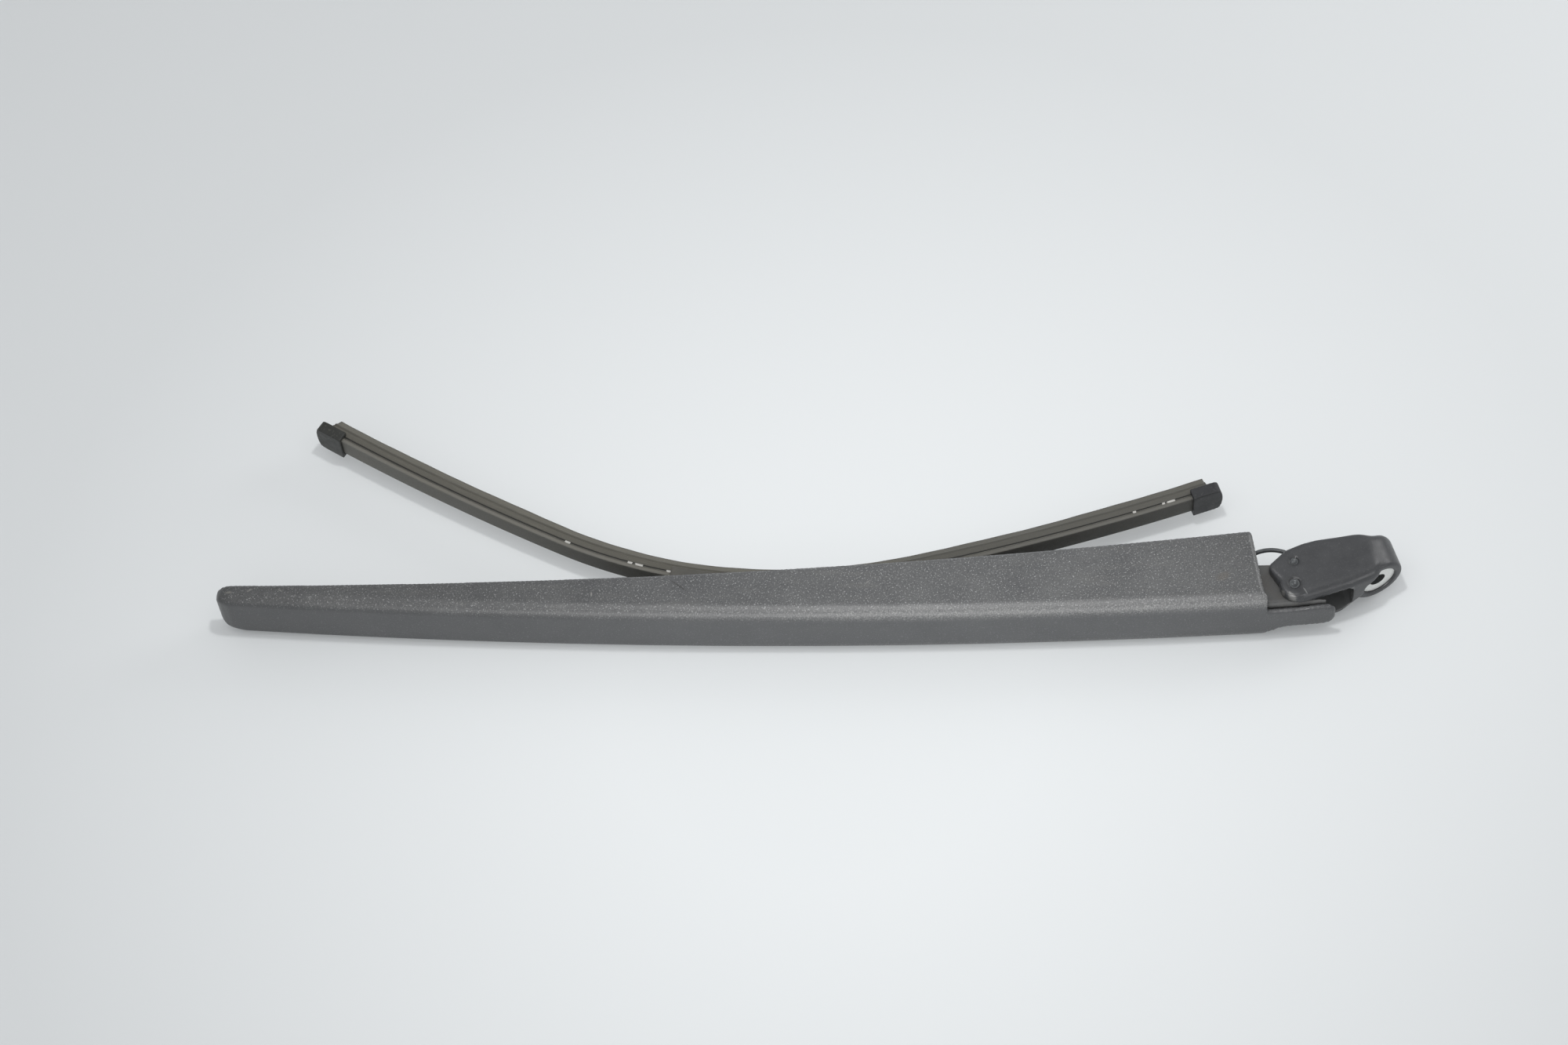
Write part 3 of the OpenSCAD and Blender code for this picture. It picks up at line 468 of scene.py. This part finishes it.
M = {
    "arm": arm_plastic(),
    "head": black_paint(),
    "seat": bare_metal(),
    "dark_steel": steel("pin_dark_steel", srgb(78, 80, 82), srgb(100, 103, 104), 0.40, 0.5),
    "spring": steel("spring_dark_steel", srgb(66, 67, 67), srgb(88, 86, 83), 0.42),
    "bracket": rusty_steel(),
    "plated": steel("plated_steel", srgb(150, 152, 153), srgb(176, 176, 174), 0.35),
    "bush": plastic("bush_plastic", srgb(196, 192, 180), srgb(210, 207, 196), 0.5),
    "black": plastic("clip_black_plastic", srgb(44, 45, 46), srgb(54, 55, 56), 0.5),
    "base": plastic("base_plastic", srgb(80, 79, 74), srgb(92, 90, 84), 0.55),
    "rubber": rubber_old(),
    "rail": rail_steel(),
    "cap_tip": plastic("cap_tip_plastic", srgb(47, 48, 46), srgb(57, 58, 55), 0.46,
                       fleck=srgb(88, 88, 83), specular=0.35),
    "cap_root": plastic("cap_root_plastic", srgb(45, 46, 48), srgb(55, 56, 58), 0.44,
                        fleck=srgb(78, 79, 79), specular=0.35),
}

FINISH = {
    "mounting_head": "head", "spindle_insert": "seat", "hinge_pin": "dark_steel",
    "spring_pin": "dark_steel", "spring_hook": "dark_steel", "tension_spring": "spring",
    "arm_cover": "arm", "hinge_bracket": "bracket", "hinge_bush_upper": "bush",
    "hinge_bush_lower": "bush", "stud_retainers": "plated", "spring_anchor_pin": "plated",
    "blade_pin": "plated", "blade_clip": "black", "blade_base": "base",
    "wiper_rubber": "rubber", "rail_upper": "rail", "rail_lower": "rail",
    "end_cap_tip": "cap_tip", "end_cap_root": "cap_root",
}

# Pieces

def new_object(name, mesh):
    o = bpy.data.objects.new(name, mesh)
    bpy.context.scene.collection.objects.link(o)
    return o


def settle(o):
    """Turns an object's modifiers into its mesh."""
    depsgraph = bpy.context.evaluated_depsgraph_get()
    mesh = bpy.data.meshes.new_from_object(o.evaluated_get(depsgraph))
    o.modifiers.clear()
    o.data = mesh


def smooth(mesh):
    for p in mesh.polygons:
        p.use_smooth = True


def finished(o, node, body, key):
    """Gives a piece its material and lets it stand for a node."""
    o.data.materials.clear()
    o.data.materials.append(M[key])
    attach(o, body)
    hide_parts(node)


def softened(node, name, voxel, rounds, body, calm=None, calm_rounds=0):
    """A node's own shape with its edges and facets softened, as moulded or cast.
    calm gives how far each point takes part in a second, longer smoothing."""
    mesh = nodes[node].data.copy()
    bm = bmesh.new()
    bm.from_mesh(mesh)
    bmesh.ops.remove_doubles(bm, verts=bm.verts, dist=1e-6)
    bm.to_mesh(mesh)
    bm.free()
    o = new_object(name, mesh)
    remesh = o.modifiers.new("remesh", "REMESH")
    remesh.mode = "VOXEL"
    remesh.voxel_size = voxel * MM
    ease = o.modifiers.new("ease", "SMOOTH")
    ease.factor = 0.5
    ease.iterations = rounds
    settle(o)
    if calm:
        group = o.vertex_groups.new(name="calm")
        for v in o.data.vertices:
            weight = calm(v.co / MM)
            if weight > 0:
                group.add([v.index], weight, "REPLACE")
        second = o.modifiers.new("calm", "SMOOTH")
        second.factor = 0.5
        second.iterations = calm_rounds
        second.vertex_group = "calm"
        settle(o)
    smooth(o.data)
    finished(o, node, body, FINISH[node])
    return o


# Rounding of the arm's tip on its upper and its lower side
TIP_R = (8.0, 11.0)


def tip_width(back, r):
    """Half width of the arm, back from its tip, with corners of radius r."""
    back = min(max(back, 0.0), r)
    return ARM_HALF - r + math.sqrt(r * r - (r - back) ** 2)


def fair_arm(o):
    """Lays the skin of the arm on its exact swept surface and widens its tip's rounding."""
    for v in o.data.vertices:
        p = turn2(Vector((v.co.x, v.co.y)) / MM - HINGE, -FOLD)
        z = v.co.z / MM
        c, r = (ARCH_C, ARCH_R) if p.x < -20.0 else (BEND_C, BEND_R)
        out = p - c
        reach = out.length
        # distance outside a section with two rounded corners
        across = abs(z) - (ARM_HALF - CREASE_R)
        down = reach - (r - CREASE_R)
        if across > 0 and down > 0:
            off = math.hypot(across, down) - CREASE_R
            lift = Vector((across, down)).normalized()
        elif across > down:
            off, lift = across - CREASE_R, Vector((1, 0))
        else:
            off, lift = down - CREASE_R, Vector((0, 1))
        back = p.x + ARM_LEN
        pull = ease_in(abs(off), 1.0, 0.5) * ease_in(back, 5.0, 9.0) * ease_in(p.x, -9.0, -13.0)
        z -= math.copysign(off * pull * lift.x, z)
        p = c + out * (1 - off * pull * lift.y / reach)
        if back < TIP_R[1]:
            z *= tip_width(back, TIP_R[z < 0]) / tip_width(back, 5.0)
        q = arm_xy(p)
        v.co = Vector((q.x, q.y, z)) * MM


def ease_in(x, a, b):
    """0 at a, 1 at b, with soft ends."""
    t = min(max((x - a) / (b - a), 0.0), 1.0)
    return t * t * (3 - 2 * t)


def head_shoulder(p):
    """Where the head's upper cheek runs into its collar."""
    x = ease_in(p.x, -17, -8) * ease_in(p.x, 9, 4)
    return x * ease_in(p.z, 5, 7.5) * ease_in(p.y, 0.5, 3.5)


def rounded(corners, steps=3):
    """Closed outline with each corner (x, y, radius) rounded off."""
    out = []
    n = len(corners)
    for i, (x, y, r) in enumerate(corners):
        p = Vector((x, y))
        to_a = (Vector(corners[i - 1][:2]) - p)
        to_b = (Vector(corners[(i + 1) % n][:2]) - p)
        half = to_a.angle(to_b) / 2
        cut = min(r / math.tan(half), to_a.length * 0.45, to_b.length * 0.45)
        a, b = p + to_a.normalized() * cut, p + to_b.normalized() * cut
        for j in range(steps + 1):
            t = j / steps
            out.append(a * (1 - t) ** 2 + p * 2 * t * (1 - t) + b * t ** 2)
    return out


def rubber_outline():
    half = [
        (0.00, 4.60, 0.50), (1.60, 4.60, 0.30), (1.60, 1.95, 0.15), (2.60, 1.95, 0.15),
        (2.60, 4.20, 0.30), (4.80, 4.20, 0.60), (5.10, 3.45, 0.30),
        (6.20, 3.15, 0.50), (7.40, 1.60, 1.50), (9.50, 0.45, 0.12),
    ]
    return rounded(half + [(d, -z, r) for d, z, r in reversed(half)])


def swept(name, outline, stations, sway):
    """Skin of a section carried along the blade, with its own run kept on each point."""
    bm = bmesh.new()
    run = bm.verts.layers.float_vector.new("run")
    rings = []
    for s in stations:
        ring = []
        for depth, z in outline:
            side = z + sway(s, depth)
            v = bm.verts.new(blade_at(s, depth, side))
            v[run] = Vector((s, depth, side)) * MM
            ring.append(v)
        rings.append(ring)
    n = len(outline)
    for a, b in zip(rings, rings[1:]):
        for i in range(n):
            j = (i + 1) % n
            bm.faces.new((a[i], a[j], b[j], b[i]))
    bm.faces.new(rings[0])
    bm.faces.new(list(reversed(rings[-1])))
    bmesh.ops.recalc_face_normals(bm, faces=bm.faces)
    mesh = bpy.data.meshes.new(name)
    bm.to_mesh(mesh)
    bm.free()
    smooth(mesh)
    return new_object(name, mesh)


def lip_sway(s, depth):
    """Sideways set of the lip, which old rubber takes."""
    reach = max(0.0, (depth - 6.2) / 3.3) ** 2
    wave = math.sin(s * 0.045) + 0.5 * math.sin(s * 0.13 + 1.0) + 0.25 * math.sin(s * 0.41)
    return 0.28 * reach * wave


def no_sway(s, depth):
    return 0.0


# Corners of a rail's section: depth from the blade's back and place across it
RAIL = [(1.65, 2.0), (1.65, 4.4), (2.55, 4.4), (2.55, 2.0)]


def make_blade():
    count = 260
    stations = [TIP_S + (ROOT_S - TIP_S) * i / count for i in range(count + 1)]
    o = swept("rubber_profile", rubber_outline(), stations, lip_sway)
    finished(o, "wiper_rubber", "blade", "rubber")
    for side, node in ((1, "rail_upper"), (-1, "rail_lower")):
        strip = rounded([(d, side * z, 0.12) for d, z in RAIL])
        o = swept(node + "_strip", strip, stations, no_sway)
        finished(o, node, "blade", "rail")


def tube(name, points, radius, sides=12):
    """Round wire along a list of points."""
    bm = bmesh.new()
    rings = []
    normal = None
    for i, p in enumerate(points):
        ahead = (points[min(i + 1, len(points) - 1)] - points[max(i - 1, 0)]).normalized()
        if normal is None:
            normal = ahead.orthogonal().normalized()
        normal = (normal - ahead * normal.dot(ahead)).normalized()
        across = ahead.cross(normal)
        ring = []
        for k in range(sides):
            a = 2 * math.pi * k / sides
            ring.append(bm.verts.new(p + (normal * math.cos(a) + across * math.sin(a)) * radius))
        rings.append(ring)
    for a, b in zip(rings, rings[1:]):
        for k in range(sides):
            j = (k + 1) % sides
            bm.faces.new((a[k], a[j], b[j], b[k]))
    bm.faces.new(rings[0])
    bm.faces.new(list(reversed(rings[-1])))
    bmesh.ops.recalc_face_normals(bm, faces=bm.faces)
    mesh = bpy.data.meshes.new(name)
    bm.to_mesh(mesh)
    bm.free()
    smooth(mesh)
    return new_object(name, mesh)


def make_spring():
    """Tension spring as one wire: head loop, coil, tail loop."""
    r, turns, steps = 3.7, 43, 24
    near, far = -32.7, -92.7
    line = []
    for i in range(13):
        a = math.radians(-90 + 180 * i / 12)
        line.append((-28.8 - r + r * math.cos(a), 0.0, r * math.sin(a)))
    line.insert(0, (near - 0.6, 0.0, -r))
    for i in range(turns * steps + steps // 4 + 1):
        t = i / steps
        a = math.radians(90) + 2 * math.pi * t
        x = near + (far - near) * t / (turns + 0.25)
        line.append((x, r * math.cos(a) * -1, r * math.sin(a)))
    side = line[-1][1]
    end = -107.1 + r
    line.append((end, side, 0.0))
    for i in range(1, 13):
        a = math.radians(90 + 180 * i / 12)
        line.append((end + r * math.cos(a), side * math.sin(a), 0.0))
    line.append((end + 3.0, -side, 0.0))
    o = tube("pull_spring_coil", [pull_at(*p) for p in line], 0.7 * MM)
    finished(o, "tension_spring", "hook", "spring")


def bevelled(node, width, segments=2):
    m = nodes[node].modifiers.new("edges", "BEVEL")
    m.width = width * MM
    m.segments = segments
    m.limit_method = "ANGLE"
    m.angle_limit = math.radians(40)
    m.use_clamp_overlap = True


for name, key in FINISH.items():
    mesh = nodes[name].data
    mesh.materials.clear()
    mesh.materials.append(M[key])

softened("mounting_head", "head_casting", 0.45, 6, "head", head_shoulder, 160)
fair_arm(softened("arm_cover", "arm_moulding", 0.8, 5, "arm"))
softened("end_cap_tip", "tip_cap_moulding", 0.22, 16, "blade")
softened("end_cap_root", "root_cap_moulding", 0.22, 16, "blade")
softened("blade_clip", "clip_moulding", 0.25, 3, "blade")
softened("blade_base", "base_moulding", 0.28, 3, "blade")
make_blade()
make_spring()


# Floor, camera and light

def make_floor():
    mesh = bpy.data.meshes.new("floor")
    bm = bmesh.new()
    bmesh.ops.create_grid(bm, x_segments=8, y_segments=8, size=6.0)
    bm.to_mesh(mesh)
    bm.free()
    o = new_object("floor", mesh)
    o.location = (0, 0, FLOOR_Z * MM - 0.0002)
    k = Mat("floor_pale", roughness=0.5, specular=0.2)
    k.color(srgb(208, 211, 212))
    # The emission is strongest round the middle and fades outwards: a painted pool of light on the
    # floor, which also lightens the shadows on it.
    k.b.inputs["Emission Color"].default_value = srgb(236, 239, 240)
    middle = k.node("ShaderNodeVectorMath", operation="DISTANCE")
    k.put(k.coord, middle.inputs[0])
    middle.inputs[1].default_value = (-0.21, 0.06, 0.0)
    lift = k.grey(middle.outputs["Value"], 0.08, 0.32, 0.28, 0.13)
    # Only what looks at the table sees it lifted, so it puts no more light on the wiper
    ray = k.node("ShaderNodeLightPath").outputs
    seen = k.maths("MAXIMUM", ray["Is Camera Ray"], ray["Is Glossy Ray"])
    seen = k.maths("MAXIMUM", seen, ray["Is Transmission Ray"])
    k.put(k.maths("MULTIPLY", lift, seen), k.b.inputs["Emission Strength"])
    k.rough(k.grey(k.noise(3.0, 2.0), 0.0, 1.0, 0.47, 0.53))
    o.data.materials.append(k.m)


def make_camera():
    right = Vector((0.89529, -0.44206, -0.05513)).normalized()
    up = Vector((0.40861, 0.76557, 0.49695))
    up = (up - up.dot(right) * right).normalized()
    back = right.cross(up)
    data = bpy.data.cameras.new("camera")
    data.sensor_width = 36.0
    data.lens = 5416 / 2000 * 36
    data.clip_end = 50
    o = bpy.data.objects.new("camera", data)
    rot = Matrix((right, up, back)).transposed()
    o.matrix_world = Matrix.Translation((-0.4835, -0.6434, 1.4326)) @ rot.to_4x4()
    bpy.context.scene.collection.objects.link(o)
    bpy.context.scene.camera = o


def area_light(name, place, target, size, radiance):
    """A soft rectangular light, its power set from how bright its face is."""
    data = bpy.data.lights.new(name, "AREA")
    data.shape = "RECTANGLE"
    data.size, data.size_y = size
    data.energy = math.pi * size[0] * size[1] * radiance
    o = bpy.data.objects.new(name, data)
    o.location = place
    aim = Vector(target) - Vector(place)
    o.rotation_euler = aim.to_track_quat("-Z", "Y").to_euler()
    bpy.context.scene.collection.objects.link(o)
    return o


def make_light():
    world = bpy.data.worlds.new("world")
    bpy.context.scene.world = world
    world.use_nodes = True
    bg = world.node_tree.nodes["Background"]
    bg.inputs[0].default_value = srgb(240, 241, 243)
    bg.inputs[1].default_value = 0.53
    area_light("lamp", (-0.15, 0.10, 0.90), (-0.15, 0.10, 0), (0.06, 0.06), 190)
    panel = area_light("panel", (-0.20, 0.00, 0.80), (-0.18, 0.10, 0), (0.9, 0.5), 1.0)
    key = Vector((-0.13, 0.06, 0.01))
    window = area_light("window", key + Vector((-0.458, -0.724, 0.49)) * 0.8, key, (0.45, 0.35), 9.0)
    window.visible_diffuse = False
    side = area_light("side", Vector((0.293, -0.848, 0.365)) * 0.8, (0, 0, 0), (0.36, 0.22), 4.0)
    side.visible_diffuse = False
    panel.visible_glossy = False
    area_light("fill", (0.66, 0.16, 0.42), (0, 0.02, 0), (0.4, 0.4), 3.0)


make_floor()
make_camera()
make_light()

scene = bpy.context.scene
scene.view_settings.view_transform = "Standard"
